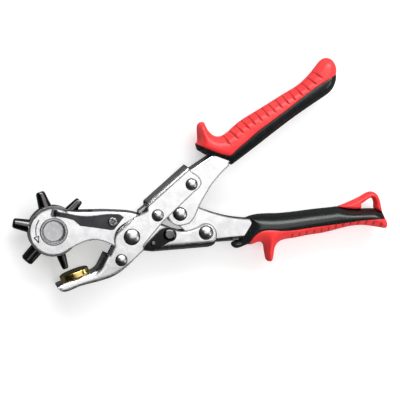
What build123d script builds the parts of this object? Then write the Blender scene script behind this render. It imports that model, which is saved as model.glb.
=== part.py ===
from build123d import *
import os
from math import atan2, cos, degrees, pi, radians, sin

# Revolving leather punch pliers, lying flat: +X runs from the jaws to the handles, +Z is up.
# All sizes are millimetres. In-plane positions are measured from the main pivot.

# --- driving dimensions -------------------------------------------------------------------
HALF_GRIP = 12.0            # the grips and the rivet heads set the thickness of the tool
PIVOT_X = -47.84            # main pivot, from the centre of the tool's outline
PIVOT_Y = -41.14
MID = Plane(origin=(PIVOT_X, PIVOT_Y, HALF_GRIP))

HANDLE_PIN = (39.1, 34.7)   # upper handle on the frame
KNEE_PIN = (31.9, 15.0)     # upper handle on the lower handle
TAIL_PIN = (49.6, 2.5)      # lower handle on the tail of the upper jaw
TURRET_PIN = (-51.2, 3.3)
CATCH_PIN = (24.9, 1.4)
INDEX_SCREW = (-12.7, 9.9)
SPACER_PINS = [(16.9, 14.2), (-6.8, -15.3)]

# Half widths of the nested channels, outside and inside
FRAME_OUT, FRAME_IN = 9.7, 7.5
JAW_OUT, JAW_IN = 7.3, 5.3
LOWER_OUT, LOWER_IN = 5.0, 3.0
FRAME_BEND, SPINE_BEND, JAW_BEND, TAIL_BEND = 3.8, 4.5, 2.6, 4.2
UPPER_HANDLE_BEND, LOWER_HANDLE_BEND = 3.2, 3.0
SHEET = 2.2                 # sheet of the frame
THIN_SHEET = 2.0            # sheet of the other channels

RUNNING = 0.05              # radial play of a pivot
MAIN_SHANK, SHANK, SPACER_SHANK, KNEE_SHANK = 4.0, 3.0, 2.5, 2.2
CATCH_SHANK, SCREW_R = 2.0, 1.6
OPEN_PIVOT_PLAY = 0.35      # radial play of the tail pin in the upper jaw
HEAD_RISE = HALF_GRIP - FRAME_OUT
FAR = 200.0                 # beyond every part of the tool

ANVIL_ANGLE = 21.2          # slope of the lower jaw under the anvil
ANVIL_SEAT = (-36.15, -27.04)
ANVIL_R, ANVIL_T = 9.9, 3.9

TURRET_R, TURRET_HALF = 16.8, 4.5
HEAD_R = 15.4
AXLE_R, AXLE_FLANGE_R, AXLE_RECESS_R = 8.0, 9.2, 7.1
TIP_RADIUS = 26.7           # reach of the punches from the turret axle
FIRST_PUNCH = 49.0          # direction of the first punch, in degrees
# tip diameter, root diameter and bore diameter of the tubes, anticlockwise from the first
PUNCHES = [
    (4.7, 7.5, 3.4),
    (5.6, 8.7, 4.2),
    (6.2, 8.6, 4.6),
    (8.0, 8.9, 5.2),
    (3.9, 6.4, 2.6),
    (3.2, 5.8, 2.0),
]

os.makedirs("parts", exist_ok=True)


# --- helpers ------------------------------------------------------------------------------
def save(piece, label):
    """Label a finished piece and write its STEP file."""
    piece.part.label = label
    export_step(piece.part, f"parts/{label}.step")


def along(start, angle, distance):
    """Point at a distance from start in a direction given in degrees."""
    return (
        start[0] + distance * cos(radians(angle)),
        start[1] + distance * sin(radians(angle)),
    )


def layer(height):
    """Tool plane at a height above the mid-plane."""
    return MID.offset(height)


def pin_plane(pin, height):
    """Tool plane centred on a pin, at a height above the mid-plane."""
    return Plane(origin=MID.from_local_coords((pin[0], pin[1], height)))


def bent_edges(blank):
    """Long edges of a blank on its bent side: all but the far, straight border."""
    flat_faces = blank.faces().filter_by(Axis.Z)
    return [
        edge
        for edge in flat_faces.edges()
        if max(abs(edge.center().X - PIVOT_X), abs(edge.center().Y - PIVOT_Y)) < FAR - 1
    ]


def rivet(pin, shank_r, head_r, seat, rise=HEAD_RISE, neck=0.0):
    """Shank with a domed head at both ends; a neck holds the heads clear of the seat."""
    dome_r = (head_r**2 + rise**2) / (2 * rise)
    base = seat + neck
    with BuildPart() as piece:
        with BuildSketch(pin_plane(pin, -base)):
            Circle(shank_r)
        extrude(amount=2 * base)
        for side in (1, -1):
            profile = Plane(
                origin=MID.from_local_coords((pin[0], pin[1], 0)), x_dir=(1, 0, 0), z_dir=(0, -1, 0)
            )
            with BuildSketch(profile):
                with BuildLine():
                    middle = dome_r * sin(atan2(head_r, dome_r - rise) / 2)
                    drop = dome_r - (dome_r**2 - middle**2) ** 0.5
                    Line((0, side * base), (head_r, side * base))
                    ThreePointArc(
                        (head_r, side * base),
                        (middle, side * (base + rise - drop)),
                        (0, side * (base + rise)),
                    )
                    Line((0, side * (base + rise)), (0, side * base))
                make_face()
            revolve(axis=Axis(profile.origin, (0, 0, 1)))
    return piece


def sleeve(pins, inner_r, outer_r, half):
    """Spacer tubes round the shanks at the given pins."""
    with BuildPart() as piece:
        for pin in pins:
            with BuildSketch(pin_plane(pin, -half)):
                Circle(outer_r)
                Circle(inner_r, mode=Mode.SUBTRACT)
            extrude(amount=2 * half)
    return piece


# --- frame with the lower jaw -------------------------------------------------------------
jaw_tip = along(ANVIL_SEAT, ANVIL_ANGLE, -11.8)
web_foot = along(ANVIL_SEAT, ANVIL_ANGLE, 10.8)
WEB_ANGLE = 64.0            # slope of the lower jaw where it rises to the pivot
WEB_SWEEP_R = 9.0


def swept(start, angle_in, angle_out, radius):
    """End point of a left-hand arc that turns between two directions."""
    return (
        start[0] + radius * (sin(radians(angle_out)) - sin(radians(angle_in))),
        start[1] + radius * (cos(radians(angle_in)) - cos(radians(angle_out))),
    )


jaw_direction = (cos(radians(ANVIL_ANGLE)), sin(radians(ANVIL_ANGLE)))
web_knee = swept(web_foot, ANVIL_ANGLE, WEB_ANGLE, WEB_SWEEP_R)
web_top = along(web_knee, WEB_ANGLE, 8.5)
inner_foot = along(web_foot, ANVIL_ANGLE - 90, SHEET)
inner_knee = along(web_knee, WEB_ANGLE - 90, SHEET)
inner_top = along(web_top, WEB_ANGLE - 90, SHEET)

SPINE_LOW = (9.1, 22.6)
SPINE_ANGLE = 42.0
SPINE_LENGTH = 36.0
spine_high = along(SPINE_LOW, SPINE_ANGLE, SPINE_LENGTH)
inner_spine_low = along(SPINE_LOW, SPINE_ANGLE - 90, SHEET)

with BuildPart() as jaw_bend:
    with BuildSketch(layer(-FRAME_OUT)):
        with BuildLine():
            far_left = along(web_foot, ANVIL_ANGLE, -FAR)
            far_top = along(web_knee, WEB_ANGLE, FAR)
            Line(far_left, web_foot)
            TangentArc(web_foot, web_knee, tangent=jaw_direction)
            Line(web_knee, far_top)
            Polyline(
                far_top, (2 * FAR, far_top[1]), (2 * FAR, -2 * FAR), (far_left[0], -2 * FAR), far_left
            )
        make_face()
    extrude(amount=2 * FRAME_OUT)
    fillet(bent_edges(jaw_bend), FRAME_BEND)

with BuildPart() as spine_bend:
    with BuildSketch(layer(-FRAME_OUT)):
        with BuildLine():
            far_low = along(SPINE_LOW, SPINE_ANGLE, -FAR)
            far_high = along(SPINE_LOW, SPINE_ANGLE, FAR)
            Polyline(
                far_low,
                far_high,
                (2 * FAR, far_high[1]),
                (2 * FAR, -2 * FAR),
                (far_low[0], -2 * FAR),
                far_low,
            )
        make_face()
    extrude(amount=2 * FRAME_OUT)
    fillet(bent_edges(spine_bend), SPINE_BEND)

with BuildPart() as lower_jaw:
    with BuildSketch(layer(-FRAME_OUT)):
        with BuildLine():
            Line(along(jaw_tip, ANVIL_ANGLE, 2), web_foot)
            TangentArc(web_foot, web_knee, tangent=jaw_direction)
            Polyline(web_knee, web_top, along(web_top, WEB_ANGLE - 90, 4), (-8, -11), (2.2, -14.4))
            Spline(
                (2.2, -14.4), (-4.6, -21.0), (-11.4, -25.6), (-18.5, -28.3), (-27.3, -30.6), (-34.5, -32.6)
            )
            Spline(
                (-34.5, -32.6),
                (-39.5, -34.8),
                (-43.4, -36.0),
                (-47.3, -35.0),
                (-48.6, -32.6),
                along(jaw_tip, ANVIL_ANGLE, 2),
                tangents=((-0.93, -0.36), (0.93, 0.36)),
            )
        make_face()
    extrude(amount=2 * FRAME_OUT)
    add(jaw_bend.part, mode=Mode.INTERSECT)

with BuildPart() as lower_jaw_frame:
    with BuildSketch(layer(-FRAME_OUT)):
        with BuildLine():
            Line((-14.1, -12.9), (-10.7, -5.9))
            Spline((-10.7, -5.9), (-11.0, 1.3), (-9.1, 5.3), (-4.3, 9.2), (1.8, 12.8), (8.3, 16.1))
            Polyline((8.3, 16.1), (10.4, 17.2), SPINE_LOW, spine_high, (39.9, 42.4))
            Spline((39.9, 42.4), (43.6, 40.0), (45.7, 36.0), (44.7, 32.9), (41.7, 30.2))
            Polyline((41.7, 30.2), (20.6, 9.9), (7.7, -5.8))
            Polyline((7.7, -5.8), (8.3, -8.5), (2.2, -14.4), (-4.6, -21.0), (-9, -20.5), (-14.1, -12.9))
        make_face()
    extrude(amount=2 * FRAME_OUT)
    add(spine_bend.part, mode=Mode.INTERSECT)
    add(lower_jaw.part)
    # hollow of the channel: open between the lower jaw's web and the spine
    with BuildSketch(layer(-FRAME_IN)):
        with BuildLine():
            far_inner = along(inner_spine_low, SPINE_ANGLE, FAR)
            tip_inner = along(along(jaw_tip, ANVIL_ANGLE, 2.6), ANVIL_ANGLE - 90, SHEET)
            Polyline(
                far_inner,
                along(inner_spine_low, SPINE_ANGLE, 0.6),
                (8.0, 23.0),
                (-30, 23.0),
                (-30, -4),
                along(inner_top, WEB_ANGLE, 2),
                inner_knee,
            )
            web_down = (-cos(radians(WEB_ANGLE)), -sin(radians(WEB_ANGLE)))
            TangentArc(inner_knee, inner_foot, tangent=web_down)
            Polyline(
                inner_foot, tip_inner, (tip_inner[0], -60), (FAR, -60), (FAR, far_inner[1]), far_inner
            )
        make_face()
    extrude(amount=2 * FRAME_IN, mode=Mode.SUBTRACT)
    for pin, radius in (
        ((0, 0), MAIN_SHANK),
        (HANDLE_PIN, SHANK),
        (SPACER_PINS[0], SPACER_SHANK),
        (SPACER_PINS[1], SPACER_SHANK),
    ):
        with BuildSketch(pin_plane(pin, -HALF_GRIP)):
            Circle(radius)
        extrude(amount=2 * HALF_GRIP, mode=Mode.SUBTRACT)
    anvil_plane = Plane(
        origin=MID.from_local_coords((*ANVIL_SEAT, 0)),
        x_dir=(0, 0, 1),
        z_dir=(cos(radians(ANVIL_ANGLE + 90)), sin(radians(ANVIL_ANGLE + 90)), 0),
    )
    with BuildSketch(anvil_plane.offset(-SHEET - 1)):
        Circle(SPACER_SHANK)
    extrude(amount=SHEET + 2, mode=Mode.SUBTRACT)
save(lower_jaw_frame, "lower_jaw_frame")

with BuildPart() as anvil:
    with BuildSketch(anvil_plane):
        Circle(ANVIL_R)
    extrude(amount=ANVIL_T)
    fillet(anvil.edges().group_by(Axis(anvil_plane.origin, anvil_plane.z_dir))[-1], 0.9)
    with BuildSketch(anvil_plane):
        Circle(SPACER_SHANK)
    extrude(amount=2.5, mode=Mode.SUBTRACT)
save(anvil, "anvil")

with BuildPart() as anvil_rivet:
    with BuildSketch(anvil_plane.offset(-SHEET - 1.2)):
        Circle(4.2)
    extrude(amount=1.2)
    with BuildSketch(anvil_plane.offset(-SHEET)):
        Circle(SPACER_SHANK)
    extrude(amount=SHEET + 2.5)
save(anvil_rivet, "anvil_rivet")

jaw_pivot_rivet = rivet((0, 0), MAIN_SHANK, 5.5, FRAME_OUT)
save(jaw_pivot_rivet, "jaw_pivot_rivet")

upper_handle_rivet = rivet(HANDLE_PIN, SHANK, 4.1, FRAME_OUT)
save(upper_handle_rivet, "upper_handle_rivet")

with BuildPart() as frame_spacer_rivets:
    for spacer_pin in SPACER_PINS:
        add(rivet(spacer_pin, SPACER_SHANK, 4.1, FRAME_OUT).part)
save(frame_spacer_rivets, "frame_spacer_rivets")

frame_spacer_sleeves = sleeve(SPACER_PINS, SPACER_SHANK, 3.4, FRAME_IN)
save(frame_spacer_sleeves, "frame_spacer_sleeves")

# Bent strip inside the spine: its foot stops the upper jaw from opening further
stop_root = along(inner_spine_low, SPINE_ANGLE - 90, 0.05)
STOP_HALF, STOP_T, STOP_LENGTH = 4.5, 1.2, 14
stop_bend = along(stop_root, SPINE_ANGLE, 0.8)
with BuildPart() as opening_stop:
    with BuildSketch(layer(-STOP_HALF)):
        with BuildLine():
            Polyline(
                along(stop_root, SPINE_ANGLE, STOP_LENGTH),
                stop_bend,
                (4.9, 16.6),
                (4.9, 15.2),
                (8.6, 14.3),
                (8.8, 15.3),
                (6.9, 16.0),
                along(stop_bend, SPINE_ANGLE - 90, STOP_T),
                along(along(stop_root, SPINE_ANGLE, STOP_LENGTH), SPINE_ANGLE - 90, STOP_T),
                close=True,
            )
        make_face()
    extrude(amount=2 * STOP_HALF)
save(opening_stop, "opening_stop")

# Torsion spring coiled round the main pivot, between the plates of the upper jaw
SPRING_R, WIRE_R, COIL_PITCH, COIL_HEIGHT, LEG = 6.4, 0.6, 1.5, 6.0, 5.0
with BuildPart() as return_spring:
    with BuildLine(pin_plane((0, 0), -3.0)) as coil:
        rise_angle = atan2(COIL_PITCH, 2 * pi * SPRING_R)
        leg_y, leg_z = LEG * cos(rise_angle), LEG * sin(rise_angle)
        Line((SPRING_R, -leg_y, -leg_z), (SPRING_R, 0, 0))
        Helix(pitch=COIL_PITCH, height=COIL_HEIGHT, radius=SPRING_R)
        Line((SPRING_R, 0, COIL_HEIGHT), (SPRING_R, leg_y, COIL_HEIGHT + leg_z))
    with BuildSketch(Plane(origin=coil.line @ 0, z_dir=coil.line % 0)):
        Circle(WIRE_R)
    sweep()
save(return_spring, "return_spring")

# --- upper jaw ----------------------------------------------------------------------------
with BuildPart() as arm_bend:
    with BuildSketch(layer(-JAW_OUT)):
        with BuildLine():
            Spline(
                (-FAR, 30), (-60, 19.5), (-36.2, 17), (-18.9, 17.2),
                (0.1, 16.1), (8, 14), (40, -6), (FAR, -110),
            )
            Polyline(
                (FAR, -110), (2 * FAR, -110), (2 * FAR, -2 * FAR),
                (-2 * FAR, -2 * FAR), (-2 * FAR, 30), (-FAR, 30),
            )
        make_face()
    extrude(amount=2 * JAW_OUT)
    fillet(bent_edges(arm_bend), JAW_BEND)

TAIL_CORNER = (14.9, -10.4)
tail_end = (50.0, -7.6)
tail_slope = degrees(atan2(tail_end[1] - TAIL_CORNER[1], tail_end[0] - TAIL_CORNER[0]))
with BuildPart() as tail_bend:
    with BuildSketch(layer(-JAW_OUT)):
        with BuildLine():
            tail_left = along(TAIL_CORNER, tail_slope, -FAR)
            tail_right = along(TAIL_CORNER, tail_slope, FAR)
            Polyline(
                tail_left,
                tail_right,
                (tail_right[0], 2 * FAR),
                (tail_left[0], 2 * FAR),
                tail_left,
            )
        make_face()
    extrude(amount=2 * JAW_OUT)
    fillet(bent_edges(tail_bend), TAIL_BEND)

with BuildPart() as tail:
    with BuildSketch(layer(-JAW_OUT)):
        with BuildLine():
            Polyline((-2, 8), (-2, -8.4), (7, -9.2), TAIL_CORNER, tail_end)
            Spline(tail_end, (54.9, -5.4), (56.9, 0.2), (55.2, 5.8), (51.5, 8.4), (45.7, 6.9))
            Spline((45.7, 6.9), (39.1, 4.3), (33.2, 3.5), (27.1, 5.0), (18.8, 8.0), (12, 9.4), (4.0, 14.9))
            Line((4.0, 14.9), (-2, 8))
        make_face()
    extrude(amount=2 * JAW_OUT)
    add(tail_bend.part, mode=Mode.INTERSECT)

with BuildPart() as upper_jaw:
    with BuildSketch(layer(-JAW_OUT)):
        with BuildLine():
            Polyline(
                (-46, 17.8), (-36.2, 17), (-18.9, 17.2), (0.1, 16.3),
                (4.0, 15.4), (4.0, 0), (0, -9.7), (-6, -9.0),
            )
            Spline(
                (-6, -9.0), (-11.7, -6.0), (-18.9, -3.0), (-23.7, -2.1),
                (-29.6, -2.9), (-38.5, -7.0), (-45.0, -10.3),
            )
            Line((-45.0, -10.3), (-46, 17.8))
        make_face()
    extrude(amount=2 * JAW_OUT)
    add(arm_bend.part, mode=Mode.INTERSECT)
    add(tail.part)
    with BuildSketch(pin_plane(TURRET_PIN, -JAW_OUT)):
        Circle(HEAD_R)
    extrude(amount=2 * JAW_OUT)
    # hollow between the plates, leaving the top web of the arm and the bottom web of the tail
    with BuildSketch(layer(-JAW_IN)):
        with BuildLine():
            Polyline(
                (-FAR, 40), (-26, 40), (-26, 15.2), (-18.9, 15.2),
                (-8.8, 15.0), (0.1, 14.1), (4.5, 12.9), (4.5, 40),
            )
            Polyline(
                (4.5, 40), (FAR, 40), (FAR, -40), (52, -40), (52, -5.3), (12, -8.6),
                (12, -40), (-FAR, -40), (-FAR, 40),
            )
        make_face()
    extrude(amount=2 * JAW_IN, mode=Mode.SUBTRACT)
    for pin, radius in (
        ((0, 0), MAIN_SHANK + RUNNING),
        (TURRET_PIN, AXLE_R),
        (TAIL_PIN, SHANK + OPEN_PIVOT_PLAY),
    ):
        with BuildSketch(pin_plane(pin, -HALF_GRIP)):
            Circle(radius)
        extrude(amount=2 * HALF_GRIP, mode=Mode.SUBTRACT)
    for pin, radius in ((CATCH_PIN, CATCH_SHANK), (INDEX_SCREW, SCREW_R)):
        with BuildSketch(pin_plane(pin, JAW_IN)):
            Circle(radius)
        extrude(amount=THIN_SHEET, mode=Mode.SUBTRACT)
    # slot for the tip of the index spring
    with BuildSketch(layer(JAW_IN)):
        with BuildLine():
            Polyline((-52.9, 13.6), (-49.9, 13.1), (-49.2, 17.4), (-52.2, 17.9), close=True)
        make_face()
    extrude(amount=THIN_SHEET, mode=Mode.SUBTRACT)
    # direction arrow, lightly engraved
    with BuildSketch(layer(JAW_OUT - 0.25)):
        with BuildLine():
            Polyline((-61.3, 11.0), (-63.0, 7.0), (-63.3, 3.9), (-62.9, 0.2), (-62.5, 0.2), (-62.9, 3.9))
            Polyline((-62.9, 3.9), (-62.6, 7.0), (-60.9, 10.8), (-61.3, 11.0))
        make_face()
        with BuildLine():
            Polyline((-64.4, -0.8), (-60.9, 0.5), (-60.9, -4.6), close=True)
        make_face()
        with BuildLine():
            Polyline((-63.4, -1.0), (-61.4, -0.2), (-61.4, -3.1), close=True)
        make_face(mode=Mode.SUBTRACT)
    extrude(amount=1, mode=Mode.SUBTRACT)
save(upper_jaw, "upper_jaw")

with BuildPart() as turret_axle:
    with BuildSketch(pin_plane(TURRET_PIN, -JAW_OUT)):
        Circle(AXLE_R)
    extrude(amount=2 * JAW_OUT)
    for side in (1, -1):
        with BuildSketch(pin_plane(TURRET_PIN, side * JAW_OUT)):
            Circle(AXLE_FLANGE_R)
        extrude(amount=side * 0.9)
    for side in (1, -1):
        with BuildSketch(pin_plane(TURRET_PIN, side * 4.2)):
            Circle(AXLE_RECESS_R)
        extrude(amount=side * 6, mode=Mode.SUBTRACT)
    rims = turret_axle.edges().filter_by(GeomType.CIRCLE).group_by(Axis.Z)
    fillet(rims[0] + rims[-1], 0.35)
save(turret_axle, "turret_axle")

INDEX_T = 1.1
with BuildPart() as index_spring:
    with BuildSketch(layer(JAW_OUT)):
        with BuildLine():
            Polyline((-44.0, 12.6), (-44.0, 15.9), (-37.3, 14.4))
            Spline(
                (-37.3, 14.4), (-26.7, 13.8), (-17.7, 14.9), (-8.4, 14.9),
                tangents=((1, -0.2), (1, -0.05)),
            )
            Polyline(
                (-8.4, 14.9), (-5.2, 13.0), (-11.6, 4.7), (-13.4, 4.4),
                (-26.7, 6.3), (-34.0, 7.2), (-38.3, 10.9),
            )
            Line((-38.3, 10.9), (-44.0, 12.6))
        make_face()
    extrude(amount=INDEX_T)
    # the tip rises over the plate, then dips through its slot towards the wheel
    tip_root = MID.from_local_coords((-44.2, 12.5, JAW_OUT))
    with BuildSketch(Plane(origin=tip_root, x_dir=(-0.985, 0.17, 0), z_dir=(0.17, 0.985, 0))):
        with BuildLine():
            Polyline(
                (-0.4, INDEX_T), (3.6, 2.2), (6.0, 1.6), (7.0, 0.1), (7.3, -2.5), (6.3, -2.6), (6.0, -0.1)
            )
            Polyline((6.0, -0.1), (5.4, 0.6), (3.6, 1.1), (-0.4, 0), (-0.4, INDEX_T))
        make_face()
    extrude(amount=3.2)
    with BuildSketch(pin_plane(INDEX_SCREW, JAW_OUT)):
        Circle(SCREW_R)
    extrude(amount=INDEX_T, mode=Mode.SUBTRACT)
save(index_spring, "index_spring")

with BuildPart() as index_spring_screw:
    with BuildSketch(pin_plane(INDEX_SCREW, JAW_OUT + INDEX_T)):
        Circle(3.1)
    extrude(amount=1.3)
    fillet(index_spring_screw.edges().group_by(Axis.Z)[-1], 0.9)
    with BuildSketch(pin_plane(INDEX_SCREW, JAW_IN)):
        Circle(SCREW_R)
    extrude(amount=THIN_SHEET + INDEX_T)
    with BuildSketch(pin_plane(INDEX_SCREW, JAW_OUT + INDEX_T + 0.5).rotated((0, 0, 20))):
        Rectangle(3.4, 0.8)
        Rectangle(0.8, 3.4)
    extrude(amount=2, mode=Mode.SUBTRACT)
save(index_spring_screw, "index_spring_screw")

jaw_pivot_sleeve = sleeve([(0, 0)], MAIN_SHANK + RUNNING, 5.4, JAW_IN)
save(jaw_pivot_sleeve, "jaw_pivot_sleeve")

CATCH_T = 1.8
CATCH_PLAY = 0.1            # clearance above and below the catch
CATCH_BASE = JAW_OUT + CATCH_PLAY
CATCH_HEAD_R, CATCH_HEAD_T = 4.1, 1.9
with BuildPart() as lock_catch_rivet:
    with BuildSketch(pin_plane(CATCH_PIN, JAW_IN)):
        Circle(CATCH_SHANK)
    extrude(amount=CATCH_BASE + CATCH_T + CATCH_PLAY - JAW_IN)
    with BuildSketch(pin_plane(CATCH_PIN, CATCH_BASE + CATCH_T + CATCH_PLAY)):
        Circle(CATCH_HEAD_R)
    extrude(amount=CATCH_HEAD_T)
    fillet(lock_catch_rivet.edges().group_by(Axis.Z)[-1], 1.8)
save(lock_catch_rivet, "lock_catch_rivet")

# --- lock catch ---------------------------------------------------------------------------
CATCH_STUD = (14.2, -4.5)
STUD_R, STUD_HEAD_R, STUD_HEAD_T = 1.1, 1.8, 1.1
STUD_FLOOR = 0.5            # sheet left under the stud
with BuildPart() as lock_catch:
    with BuildSketch(layer(CATCH_BASE)):
        with BuildLine():
            Line((9.1, -5.4), (18.6, 4.4))
            Spline((18.6, 4.4), (22.0, 6.0), (27.0, 5.6), (29.7, 1.8), (28.8, -1.6), (25.8, -3.2))
            Line((25.8, -3.2), (15.1, -8.6))
            Spline((15.1, -8.6), (10.6, -8.6), (8.9, -7.4), (9.1, -5.4))
        make_face()
    extrude(amount=CATCH_T)
    with BuildSketch(pin_plane(CATCH_PIN, CATCH_BASE)):
        Circle(CATCH_SHANK + RUNNING)
    extrude(amount=CATCH_T, mode=Mode.SUBTRACT)
    with BuildSketch(pin_plane(CATCH_STUD, CATCH_BASE + STUD_FLOOR)):
        Circle(STUD_R)
    extrude(amount=CATCH_T, mode=Mode.SUBTRACT)
save(lock_catch, "lock_catch")

with BuildPart() as lock_catch_stud:
    with BuildSketch(pin_plane(CATCH_STUD, CATCH_BASE + STUD_FLOOR)):
        Circle(STUD_R)
    extrude(amount=CATCH_T - STUD_FLOOR)
    with BuildSketch(pin_plane(CATCH_STUD, CATCH_BASE + CATCH_T)):
        Circle(STUD_HEAD_R)
    extrude(amount=STUD_HEAD_T)
    fillet(lock_catch_stud.edges().group_by(Axis.Z)[-1], 1.0)
save(lock_catch_stud, "lock_catch_stud")

# --- turret -------------------------------------------------------------------------------
STUB_R, STUB_DEPTH = 2.4, 4.0
SPOT_FACE_R = 4.46          # flat seat milled for each punch
DIMPLE_CIRCLE_R, DIMPLE_R, DIMPLE_DEPTH = 12.9, 1.6, 0.5
WASHER_R, WASHER_T = 9.8, 0.6
EDGE_LENGTH = 1.0           # ground cutting edge of a punch
BORE_DEPTH = 8.0
KNURL_COUNT, KNURL_DEPTH = 90, 0.35
punch_angles = [FIRST_PUNCH + 60 * i for i in range(6)]

with BuildPart() as turret_wheel:
    with BuildSketch(pin_plane(TURRET_PIN, -TURRET_HALF)):
        Circle(TURRET_R)
        Circle(AXLE_R + RUNNING, mode=Mode.SUBTRACT)
        with PolarLocations(TURRET_R + 0.1, KNURL_COUNT):
            RegularPolygon(KNURL_DEPTH + 0.1, 3, mode=Mode.SUBTRACT)
    extrude(amount=2 * TURRET_HALF)
    # shallow dimples that the index spring drops into, on both faces
    for side in (1, -1):
        with BuildSketch(pin_plane(TURRET_PIN, side * (TURRET_HALF - DIMPLE_DEPTH))):
            with PolarLocations(DIMPLE_CIRCLE_R, 6, start_angle=90):
                Circle(DIMPLE_R)
        extrude(amount=side * 1, mode=Mode.SUBTRACT)
    for angle in punch_angles:
        outward = (cos(radians(angle)), sin(radians(angle)), 0)
        seat = MID.from_local_coords((*along(TURRET_PIN, angle, TURRET_R - 0.6), 0))
        with BuildSketch(Plane(origin=seat, x_dir=(0, 0, 1), z_dir=outward)):
            Circle(SPOT_FACE_R)
        extrude(amount=3, mode=Mode.SUBTRACT)
        with BuildSketch(Plane(origin=seat, x_dir=(0, 0, 1), z_dir=outward)):
            Circle(STUB_R)
        extrude(amount=-STUB_DEPTH, mode=Mode.SUBTRACT)
save(turret_wheel, "turret_wheel")

with BuildPart() as turret_washers:
    for side in (1, -1):
        with BuildSketch(pin_plane(TURRET_PIN, side * TURRET_HALF)):
            Circle(WASHER_R)
            Circle(AXLE_R + RUNNING, mode=Mode.SUBTRACT)
        extrude(amount=side * WASHER_T)
save(turret_washers, "turret_washers")

for number, (angle, (tip_d, root_d, bore_d)) in enumerate(zip(punch_angles, PUNCHES), start=1):
    outward = (cos(radians(angle)), sin(radians(angle)), 0)
    seat = MID.from_local_coords((*along(TURRET_PIN, angle, TURRET_R - 0.6), 0))
    reach = TIP_RADIUS - TURRET_R + 0.6
    tube_plane = Plane(origin=seat, x_dir=(0, 0, 1), z_dir=outward)
    with BuildPart() as punch:
        with BuildSketch(tube_plane):
            Circle(root_d / 2)
        with BuildSketch(tube_plane.offset(reach - EDGE_LENGTH)):
            Circle(tip_d / 2 + 0.25)
        loft()
        # ground cutting edge
        with BuildSketch(tube_plane.offset(reach - EDGE_LENGTH)):
            Circle(tip_d / 2 + 0.25)
        with BuildSketch(tube_plane.offset(reach)):
            Circle(bore_d / 2 + 0.3)
        loft()
        with BuildSketch(tube_plane.offset(-STUB_DEPTH)):
            Circle(STUB_R)
        extrude(amount=STUB_DEPTH)
        with BuildSketch(tube_plane.offset(reach)):
            Circle(bore_d / 2)
        extrude(amount=-BORE_DEPTH, mode=Mode.SUBTRACT)
    save(punch, f"punch_tube_{number}")

# --- upper handle -------------------------------------------------------------------------
UPPER_SPINE = (39.2, 45.0)
UPPER_ANGLE = 34.4
with BuildPart() as upper_handle_bend:
    with BuildSketch(layer(-JAW_OUT)):
        with BuildLine():
            low = along(UPPER_SPINE, UPPER_ANGLE, -FAR)
            high = along(UPPER_SPINE, UPPER_ANGLE, FAR)
            Polyline(low, high, (2 * FAR, high[1]), (2 * FAR, -2 * FAR), (low[0], -2 * FAR), low)
        make_face()
    extrude(amount=2 * JAW_OUT)
    fillet(bent_edges(upper_handle_bend), UPPER_HANDLE_BEND)

upper_tang_end = along(UPPER_SPINE, UPPER_ANGLE, 84)
with BuildPart() as upper_handle_blank:
    with BuildSketch(layer(-JAW_OUT)):
        with BuildLine():
            Polyline(upper_tang_end, along(UPPER_SPINE, UPPER_ANGLE, -4.5), (31.8, 37.0), (24.1, 17.0))
            ThreePointArc((24.1, 17.0), (26.24, 9.34), (33.0, 7.08))
            Line((33.0, 7.08), (38.4, 8.4))
            Spline(
                (38.4, 8.4), (42.3, 13.7), (44.4, 19.0), (48.5, 26.9),
                (52.5, 33.5), (58.7, 41.4), (64.1, 46.6),
                tangents=((0.7, 0.7), (0.75, 0.66)),
            )
            # inside the grip the tang keeps clear of the rounded rim
            Polyline((64.1, 46.6), (64.3, 49.0), (82.6, 62.8), (104.5, 78.9), (111.5, 83.7), upper_tang_end)
        make_face()
    extrude(amount=2 * JAW_OUT)
    add(upper_handle_bend.part, mode=Mode.INTERSECT)

with BuildPart() as upper_handle:
    add(upper_handle_blank.part)
    with BuildSketch(layer(-JAW_IN)):
        with BuildLine():
            inner_low = along(along(UPPER_SPINE, UPPER_ANGLE - 90, THIN_SHEET), UPPER_ANGLE, -2.5)
            inner_high = along(inner_low, UPPER_ANGLE, FAR)
            Polyline(inner_high, inner_low, along(inner_low, UPPER_ANGLE + 90, 8), (-20, 46), (-20, -FAR))
            Polyline((-20, -FAR), (2 * FAR, -FAR), (2 * FAR, inner_high[1]), inner_high)
        make_face()
    extrude(amount=2 * JAW_IN, mode=Mode.SUBTRACT)
    for pin, radius in ((HANDLE_PIN, SHANK + RUNNING), (KNEE_PIN, KNEE_SHANK)):
        with BuildSketch(pin_plane(pin, -HALF_GRIP)):
            Circle(radius)
        extrude(amount=2 * HALF_GRIP, mode=Mode.SUBTRACT)
save(upper_handle, "upper_handle")

upper_handle_sleeve = sleeve([HANDLE_PIN], SHANK + RUNNING, 4.6, JAW_IN)
save(upper_handle_sleeve, "upper_handle_sleeve")

KNEE_NECK = FRAME_OUT - JAW_OUT + 0.25   # the edge of the frame passes under the heads
KNEE_RISE = HALF_GRIP - JAW_OUT - KNEE_NECK - 0.1
handle_pivot_rivet = rivet(KNEE_PIN, KNEE_SHANK, 4.5, JAW_OUT, rise=KNEE_RISE, neck=KNEE_NECK)
save(handle_pivot_rivet, "handle_pivot_rivet")

# --- lower handle -------------------------------------------------------------------------
lower_tang_top = (136.0, 16.2)
with BuildPart() as lower_handle_bend:
    with BuildSketch(layer(-LOWER_OUT)):
        with BuildLine():
            ThreePointArc((-60, -2.0), (57.0, -4.3), (165.0, 11.0))
            Polyline((165.0, 11.0), (2 * FAR, 2 * FAR), (-2 * FAR, 2 * FAR), (-60, -2.0))
        make_face()
    extrude(amount=2 * LOWER_OUT)
    fillet(bent_edges(lower_handle_bend), LOWER_HANDLE_BEND)

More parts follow.
